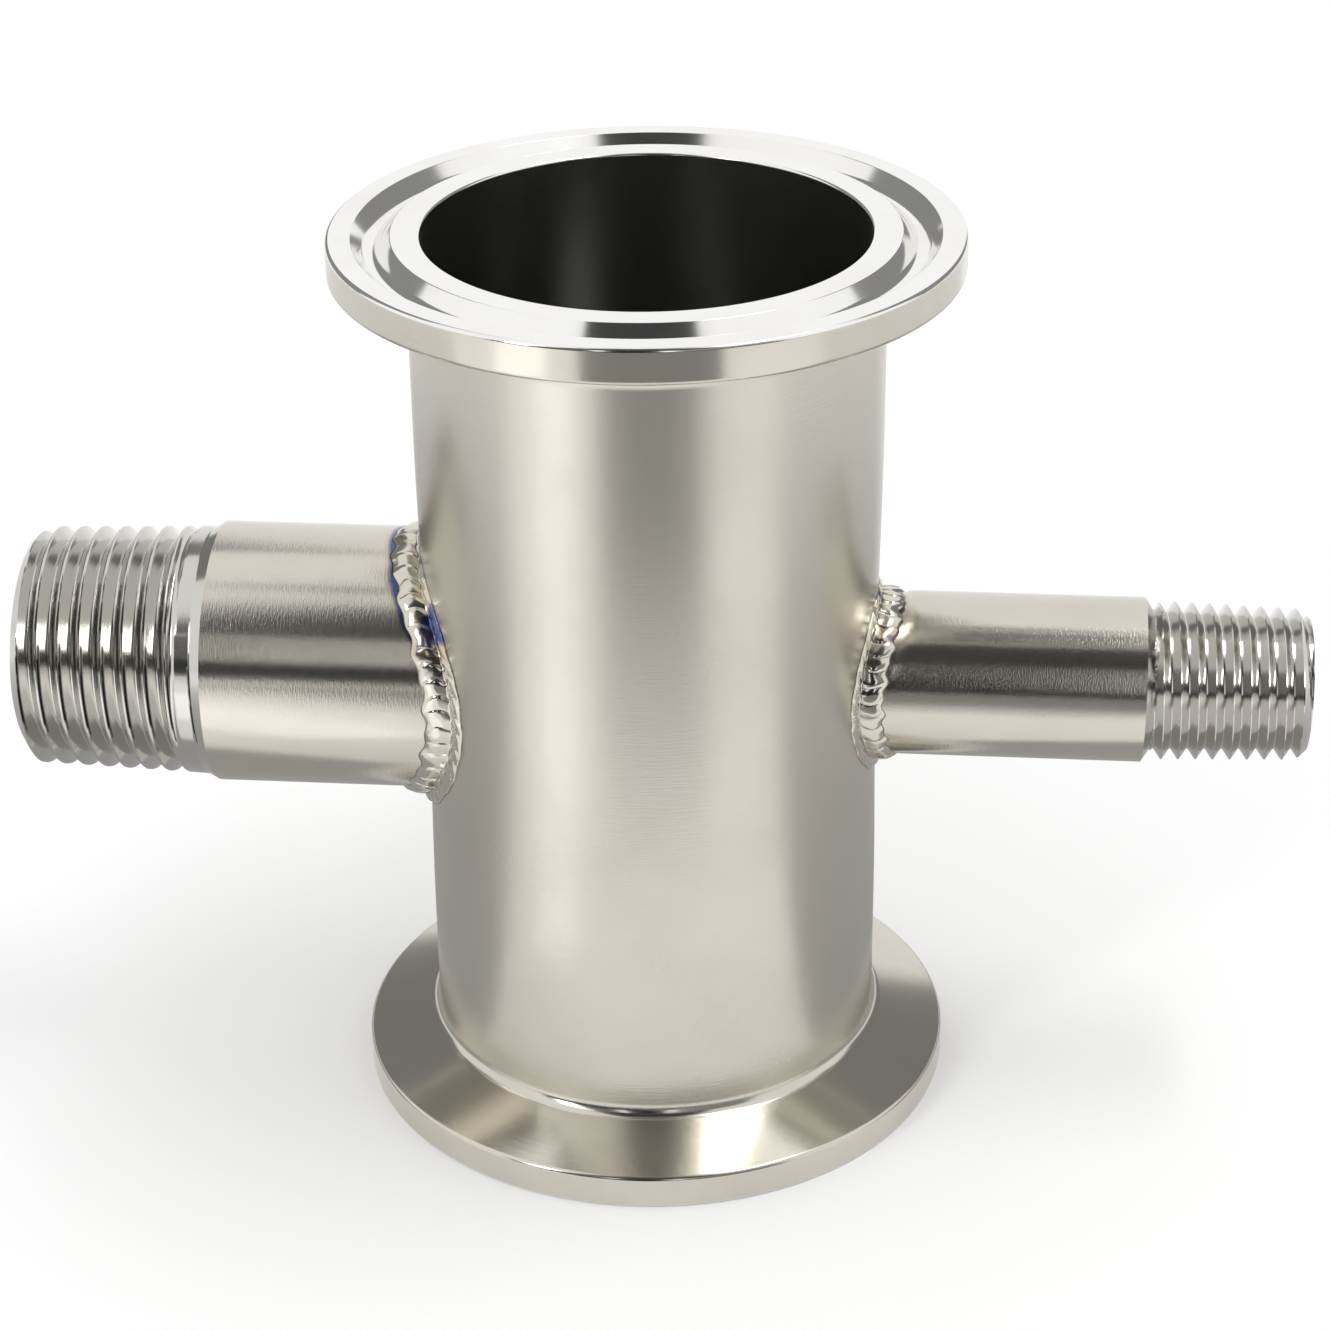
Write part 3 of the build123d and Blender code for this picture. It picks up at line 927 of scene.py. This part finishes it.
def nipple_sleeve(name, sizes, material):
    """The threaded length of a nipple, cut by the taper thread's tree."""
    sleeve = new_object(name, bpy.data.meshes.new(name))
    apply_tree(sleeve, bpy.data.node_groups.get("taper_thread") or taper_thread_tree(), {
        "Segments": NIPPLE_SEGMENTS[sizes.side],
        "Rows per Pitch": ROWS_PER_PITCH[sizes.side],
        "Side": float(sizes.side),
        "Axis Height": PORT_HEIGHT,
        "Start": sizes.shoulder,
        "End": sizes.reach,
        "Shoulder Radius": sizes.body_radius,
        "End Radius": sizes.end_radius,
        "Taper": HALF_TAPER,
        "Pitch": sizes.pitch,
        "Depth": sizes.depth,
        "First Crest": sizes.first_crest,
        "Crest Flat": sizes.crest_flat,
        "Root Flat": sizes.root_flat,
        "Run-out Depth": sizes.run_out_depth,
        "Fade": max(sizes.fade, 0.01 * MM),
        "Fade Start": sizes.shoulder + sizes.pitch * (1.2 if sizes.fade else 0.0),
        "End Chamfer": sizes.end_chamfer,
        "Tear": 1.0 if sizes.side < 0 else 0.0,
        "Seed": 3.0,
        "Material": material,
    })
    return sleeve


def nipple_core(name, sizes):
    """The rest of the nipple: plain part, coped inner end, bore and end face, open at the sleeve."""
    place = around_nipple(sizes.side)
    segments = NIPPLE_SEGMENTS[sizes.side]
    turns = [2 * pi * step / segments for step in range(segments)]
    inner = []
    for turn in turns:
        _, y, z = place(0, sizes.bore_radius, turn)
        inner.append((sizes.side * saddle_reach(y, z), y, z))
    rings = [
        [place(sizes.reach, sizes.bore_radius + BORE_MOUTH, turn) for turn in turns],
        [place(sizes.reach - BORE_MOUTH, sizes.bore_radius, turn) for turn in turns],
        inner,
    ]
    for index in range(PLAIN_RINGS + 1):
        share = index / PLAIN_RINGS
        points = []
        for turn in turns:
            _, y, z = place(0, sizes.body_radius, turn)
            near = saddle_reach(y, z)
            s = near + (sizes.shoulder - near) * share
            dip = undercut_depth(sizes, s - near, turn)
            _, y, z = place(0, sizes.body_radius - dip, turn)
            points.append((sizes.side * s, y, z))
        rings.append(points)
    faces = []
    for first in range(0, (len(rings) - 1) * segments, segments):
        second = first + segments
        for step in range(segments):
            right = (step + 1) % segments
            faces.append((first + step, first + right, second + right, second + step))
    mesh = bpy.data.meshes.new(name)
    mesh.from_pydata([point for ring in rings for point in ring], [], faces)
    return new_object(name, mesh)


def undercut_depth(sizes, from_tube, turn):
    """Depth of the melted groove in the nipple's wall beside the weld's toe."""
    if not sizes.undercut:
        return 0.0
    width = 0.55 * MM
    offset = (from_tube - sizes.weld_leg) / width
    top = max(0.0, sin(turn) * sizes.side) ** 2
    return sizes.undercut * top * max(0.0, 1 - offset * offset)


def join_sleeve(core, sleeve, name):
    """One closed nipple from its core and its threaded sleeve."""
    shape = bmesh.new()
    shape.from_mesh(core.data)
    shape.from_mesh(sleeve.data)
    bmesh.ops.remove_doubles(shape, verts=shape.verts, dist=0.003 * MM)
    open_edges = [edge for edge in shape.edges if edge.is_boundary]
    if open_edges:
        bmesh.ops.bridge_loops(shape, edges=open_edges)
    bmesh.ops.recalc_face_normals(shape, faces=shape.faces)
    mesh = bpy.data.meshes.new(name)
    shape.to_mesh(mesh)
    shape.free()
    for leftover in (core, sleeve):
        bpy.data.objects.remove(leftover)
    return new_object(name, mesh)


def nipple_slots(mesh, sizes):
    """0 plain body, 1 thread and end face, 2 bore."""
    for face in mesh.polygons:
        centre = face.center
        out = centre.x * sizes.side
        from_axis = hypot(centre.y, centre.z - PORT_HEIGHT)
        if from_axis < sizes.bore_radius + SKIN:
            face.material_index = 2
        elif out > sizes.shoulder:
            face.material_index = 1
        else:
            face.material_index = 0


def weld_base(name, sizes, along_steps, across_steps):
    """Smooth closed bead in the corner between nipple and tube, with the ripples' attributes."""
    leg = sizes.weld_leg
    tube_share = 0.62
    vertices, along, across, wet = [], [], [], []
    for step in range(along_steps):
        turn = 2 * pi * step / along_steps
        radial = Vector((0, cos(turn), sizes.side * sin(turn)))
        corner = radial * sizes.body_radius + Vector((0, 0, PORT_HEIGHT))
        corner.x = sizes.side * saddle_reach(corner.y, corner.z)
        outward = Vector((sizes.side, 0, 0))
        wall = Vector((corner.x, corner.y, 0)).normalized()
        up_wall = (radial - wall * radial.dot(wall)).normalized()
        below = max(0.0, -sin(turn) * sizes.side)
        toe_wave = 0.10 * leg * sin(turn * 23) * sin(turn * 7 + 1.0)
        nipple_toe = corner + outward * (leg + toe_wave)
        tube_toe = on_tube(corner + up_wall * (tube_share * leg - 0.4 * toe_wave))
        pull = 0.18 + 0.22 * below
        crease = corner + (outward + up_wall) * pull * leg * 0.5
        for index in range(across_steps + 1):
            share = index / across_steps
            if share < CREASE:
                bend = share / CREASE
                point = nipple_toe.lerp(crease, bend)
                point += radial * 0.09 * leg * sin(pi * bend)
            else:
                bend = (share - CREASE) / (1 - CREASE)
                point = crease.lerp(tube_toe, bend)
                point += wall * 0.06 * leg * sin(pi * bend)
            vertices.append(point)
            along.append(step / along_steps)
            across.append(share)
            wet.append(min(1.0, 8 * share, 8 * (1 - share)))
        buried = (tube_toe.lerp(corner, 0.5), corner, corner.lerp(nipple_toe, 0.5))
        for point in buried:
            vertices.append(point)
            along.append(step / along_steps)
            across.append(1.0)
            wet.append(0.0)
    ring = across_steps + 1 + len(buried)
    faces = []
    for step in range(along_steps):
        after = (step + 1) % along_steps
        for index in range(ring):
            beside = (index + 1) % ring
            faces.append((step * ring + index, step * ring + beside, after * ring + beside,
                          after * ring + index))
    mesh = bpy.data.meshes.new(name)
    mesh.from_pydata(vertices, [], faces)
    for label, values in (("along", along), ("across", across), ("open", wet)):
        layer = mesh.attributes.new(label, "FLOAT", "POINT")
        layer.data.foreach_set("value", values)
    weld_shut(mesh, 0.0001 * MM)
    mesh.shade_smooth()
    return new_object(name, mesh)


def on_tube(point):
    """The point moved straight out or in to the tube's outside."""
    scale = tube_radius(point.z) / hypot(point.x, point.y)
    return Vector((point.x * scale, point.y * scale, point.z))


# ---------------------------------------------------------------- operators

class SPOOL_OT_ferrules(bpy.types.Operator):
    """Make both clamp ferrules"""
    bl_idname = "spool.ferrules"
    bl_label = "Clamp Ferrules"

    def execute(self, context):
        sizes = context.scene.spool_ferrule
        colours = context.scene.spool_finish
        outline = ferrule_outline(sizes)
        slots = ferrule_slots(outline, sizes)
        finishes = [made_once(maker, colours) for maker in
                    (polished_face_steel, flange_side_steel, bore_steel_painted_shade, satin_tube_steel)]
        ends = (("bottom_ferrule", around_z()), ("top_ferrule", around_z(SPOOL_LENGTH, -1)))
        for node, place in ends:
            piece = revolve(f"{node}_turned", outline, place, segments=360, slots=slots)
            set_materials(piece, *finishes)
            hand_over(piece, node)
        return {"FINISHED"}


class SPOOL_OT_tube(bpy.types.Operator):
    """Make the body tube"""
    bl_idname = "spool.tube"
    bl_label = "Body Tube"

    def execute(self, context):
        colours = context.scene.spool_finish
        tube = tube_mesh()
        set_materials(tube, made_once(satin_tube_steel, colours), made_once(bore_steel_painted_shade, colours))
        hand_over(tube, "body_tube")
        return {"FINISHED"}


class SPOOL_OT_nipples(bpy.types.Operator):
    """Make both threaded nipples"""
    bl_idname = "spool.nipples"
    bl_label = "Threaded Nipples"

    def execute(self, context):
        colours = context.scene.spool_finish
        for node, sizes in nipple_settings(context.scene):
            thread = thread_steel(colours, torn=sizes.side < 0)
            sleeve = nipple_sleeve(f"{node}_sleeve", sizes, thread)
            core = nipple_core(f"{node}_core", sizes)
            piece = join_sleeve(core, sleeve, f"{node}_turned")
            nipple_slots(piece.data, sizes)
            piece.data.shade_smooth()
            piece.data.set_sharp_from_angle(angle=radians(24))
            set_materials(piece, nipple_body_steel(colours, sizes.side, sizes.weld_leg), thread,
                          made_once(bore_steel_painted_shade, colours))
            hand_over(piece, node)
        return {"FINISHED"}


class SPOOL_OT_welds(bpy.types.Operator):
    """Lay both rippled weld beads"""
    bl_idname = "spool.welds"
    bl_label = "Weld Beads"

    def execute(self, context):
        colours = context.scene.spool_finish
        steel = weld_steel(colours)
        tree = weld_ripples_tree()
        for node, sizes in nipple_settings(context.scene):
            bead = weld_base(f"{node}_weld_bead", sizes, WELD_STEPS[sizes.side], 22)
            girth = 2 * pi * (sizes.body_radius + sizes.weld_leg / 3)
            apply_tree(bead, tree, {"Ripples": round(girth / sizes.weld_ripple),
                                    "Height": 0.13 * MM, "Crescent": 0.9,
                                    "Unevenness": 0.22 * MM, "Seed": 2.0 + sizes.side,
                                    "Material": steel})
            bead.data.shade_smooth()
            set_materials(bead, steel)
            hand_over(bead, f"{node}_weld")
        return {"FINISHED"}


def nipple_settings(scene):
    """Node name and sizes of each nipple."""
    return (("large_nipple", scene.spool_large), ("small_nipple", scene.spool_small))


def camera_axes(stage):
    """The camera's right, up and backward directions."""
    az, el = stage.azimuth, stage.elevation
    back = Vector((sin(az) * cos(el), -cos(az) * cos(el), sin(el)))
    right = Vector((cos(az), sin(az), 0.0))
    up = back.cross(right)
    turned_right = right * cos(stage.roll) + up * sin(stage.roll)
    turned_up = up * cos(stage.roll) - right * sin(stage.roll)
    return turned_right, turned_up, back


def add_camera(stage):
    """The camera, set out from the point that it looks at."""
    right, up, back = camera_axes(stage)
    target = Vector((0, 0, stage.aim_height)) + right * stage.aim_right + up * stage.aim_up
    data = bpy.data.cameras.new("camera")
    data.lens = stage.lens
    data.sensor_width = 36.0
    data.clip_start = 0.01
    data.clip_end = 20.0
    camera = bpy.data.objects.new("camera", data)
    bpy.context.scene.collection.objects.link(camera)
    matrix = Matrix((right, up, back)).transposed().to_4x4()
    matrix.translation = target + back * stage.distance
    camera.matrix_world = matrix
    bpy.context.scene.camera = camera


def add_softbox(name, place, size, power):
    """A rectangular area lamp that faces the spool."""
    data = bpy.data.lights.new(name, "AREA")
    data.shape = "RECTANGLE"
    data.size, data.size_y = size
    data.energy = power
    lamp = bpy.data.objects.new(name, data)
    bpy.context.scene.collection.objects.link(lamp)
    lamp.location = place
    lamp.rotation_euler = (Vector((0.0, 0.0, AIM_HEIGHT)) - Vector(place)).to_track_quat("-Z", "Y").to_euler()


def grid_faces(rows, columns):
    """Faces of a grid whose points are listed row by row."""
    width = columns + 1
    corners = [row * width + column for row in range(rows) for column in range(columns)]
    return [(corner, corner + 1, corner + width + 1, corner + width) for corner in corners]


def reflection_card(name, vertices, faces, grey, levels=()):
    """A card that only reflections see: one grey, times a level for each point if there are levels."""
    mesh = bpy.data.meshes.new(name)
    mesh.from_pydata(vertices, [], faces)
    material = bpy.data.materials.new(name)
    material.use_nodes = True
    tree = material.node_tree
    tree.nodes.clear()
    strength = 1.0
    if levels:
        mesh.attributes.new("grey", "FLOAT", "POINT").data.foreach_set("value", levels)
        strength = add(tree, "ShaderNodeAttribute", attribute_name="grey").outputs["Fac"]
    glow = add(tree, "ShaderNodeEmission", {"Color": rgba([grey] * 3), "Strength": strength})
    add(tree, "ShaderNodeOutputMaterial", {"Surface": glow.outputs[0]})
    card = new_object(name, mesh)
    set_materials(card, material)
    card.visible_camera = False
    card.visible_diffuse = False
    card.visible_shadow = False


def add_flag(name, azimuth, elevation, grey):
    """A curved card round the spool."""
    steps = 24
    vertices = []
    for row in range(steps + 1):
        el = radians(elevation[0] + (elevation[1] - elevation[0]) * row / steps)
        for column in range(steps + 1):
            az = radians(azimuth[0] + (azimuth[1] - azimuth[0]) * column / steps)
            vertices.append((FLAG_DISTANCE * sin(az) * cos(el), -FLAG_DISTANCE * cos(az) * cos(el),
                             AIM_HEIGHT + FLAG_DISTANCE * sin(el)))
    reflection_card(name, vertices, grid_faces(steps, steps), grey)


def add_floor_card(name, azimuth, reach, levels):
    """Part of a ring on the floor, whose brightness runs through three levels: painted light and shade on the
    floor that only reflections see.
    """
    columns, rows = 16, 24
    vertices, greys = [], []
    for row in range(rows + 1):
        share = row / rows
        radius = reach[0] + (reach[2] - reach[0]) * share * share
        near = min(1.0, (radius - reach[0]) / (reach[1] - reach[0]))
        far = max(0.0, (radius - reach[1]) / (reach[2] - reach[1]))
        grey = levels[0] + (levels[1] - levels[0]) * near + (levels[2] - levels[1]) * far
        for column in range(columns + 1):
            az = radians(azimuth[0] + (azimuth[1] - azimuth[0]) * column / columns)
            vertices.append((radius * sin(az), -radius * cos(az), 0.5 * MM))
            greys.append(grey)
    reflection_card(name, vertices, grid_faces(rows, columns), 1.0, greys)


def add_floor(stage):
    """A wide pale disc under the spool."""
    segments, radius = 96, 4.0
    rim = [(radius * cos(2 * pi * step / segments), radius * sin(2 * pi * step / segments), 0.0)
           for step in range(segments)]
    mesh = bpy.data.meshes.new("floor")
    mesh.from_pydata([(0, 0, 0)] + rim, [],
                     [(0, 1 + step, 1 + (step + 1) % segments) for step in range(segments)])
    floor = new_object("floor", mesh)
    material = bpy.data.materials.new("floor_white")
    material.use_nodes = True
    shader = material.node_tree.nodes["Principled BSDF"]
    shader.inputs["Base Color"].default_value = rgba([stage.floor_level] * 3)
    shader.inputs["Roughness"].default_value = 0.9
    shader.inputs["Specular IOR Level"].default_value = 0.0
    set_materials(floor, material)


def add_world(stage):
    """A white surround: full white to the camera and in reflections, a little less on matt surfaces."""
    world = bpy.data.worlds.new("white_surround")
    world.use_nodes = True
    tree = world.node_tree
    background = tree.nodes["Background"]
    background.inputs["Color"].default_value = (1.0, 1.0, 1.0, 1.0)
    path = add(tree, "ShaderNodeLightPath")
    direct = calc(tree, "MAXIMUM", path.outputs["Is Camera Ray"], path.outputs["Is Glossy Ray"])
    direct = calc(tree, "MAXIMUM", direct, path.outputs["Is Transmission Ray"])
    level = calc(tree, "MULTIPLY_ADD", direct, 1.0 - stage.world_level, stage.world_level)
    tree.links.new(level, background.inputs["Strength"])
    bpy.context.scene.world = world


class SPOOL_OT_stage(bpy.types.Operator):
    """Set up the floor, the lights and the camera"""
    bl_idname = "spool.stage"
    bl_label = "Stage"

    def execute(self, context):
        stage = context.scene.spool_stage
        context.scene.view_settings.view_transform = "Standard"
        add_floor(stage)
        add_world(stage)
        add_camera(stage)
        for lamp in SOFTBOXES:
            add_softbox(*lamp)
        for flag in FLAGS:
            add_flag(*flag)
        for card in FLOOR_CARDS:
            add_floor_card(*card)
        return {"FINISHED"}


class SPOOL_PT_panel(bpy.types.Panel):
    """Lists the spool's operators"""
    bl_label = "Spool"
    bl_idname = "SPOOL_PT_panel"
    bl_space_type = "VIEW_3D"
    bl_region_type = "UI"
    bl_category = "Spool"

    def draw(self, context):
        for operator in OPERATORS:
            self.layout.operator(operator.bl_idname)


SETTINGS = {"spool_ferrule": FerruleSizes, "spool_tube": TubeSizes, "spool_large": NippleSizes,
            "spool_small": NippleSizes, "spool_finish": FinishColours, "spool_stage": StageSettings}
OPERATORS = (SPOOL_OT_ferrules, SPOOL_OT_tube, SPOOL_OT_nipples, SPOOL_OT_welds, SPOOL_OT_stage)
CLASSES = tuple(dict.fromkeys(SETTINGS.values())) + OPERATORS + (SPOOL_PT_panel,)


def register():
    """Register the classes and hang the settings on the scene."""
    for item in CLASSES:
        bpy.utils.register_class(item)
    for name, group in SETTINGS.items():
        setattr(bpy.types.Scene, name, bpy.props.PointerProperty(type=group))


def unregister():
    """Undo register()."""
    for name in SETTINGS:
        delattr(bpy.types.Scene, name)
    for item in reversed(CLASSES):
        bpy.utils.unregister_class(item)


def fill_nipple_sizes(scene):
    """Sizes of the two nipples: the frame gives reach and radii, the rest is each thread's own."""
    large = {"side": -1, "reach": LARGE_REACH, "body_radius": LARGE_BODY_R,
             "bore_radius": LARGE_BORE_R, "shoulder": 36.2 * MM, "end_radius": 10.05 * MM,
             "pitch": 1.814 * MM, "depth": 1.12 * MM, "first_crest": 39.05 * MM, "crest_flat": 0.12,
             "root_flat": 0.08, "run_out_depth": 0.0, "fade": 1.3 * MM, "weld_leg": 2.4 * MM,
             "weld_ripple": 1.5 * MM, "undercut": 0.0}
    small = {"side": 1, "reach": SMALL_REACH, "body_radius": SMALL_BODY_R,
             "bore_radius": SMALL_BORE_R, "shoulder": 40.9 * MM, "end_radius": 6.25 * MM,
             "pitch": 1.411 * MM, "depth": 0.92 * MM, "first_crest": 43.78 * MM, "crest_flat": 0.03,
             "root_flat": 0.08, "run_out_depth": 0.9 * MM, "fade": 0.0, "weld_leg": 2.1 * MM,
             "weld_ripple": 1.35 * MM, "undercut": 0.42 * MM}
    for group, values in ((scene.spool_large, large), (scene.spool_small, small)):
        for key, value in values.items():
            setattr(group, key, value)


def main():
    """Make every piece and the stage."""
    register()
    fill_nipple_sizes(bpy.context.scene)
    for operator in OPERATORS:
        category, name = operator.bl_idname.split(".")
        getattr(getattr(bpy.ops, category), name)()


if __name__ == "__main__":
    main()
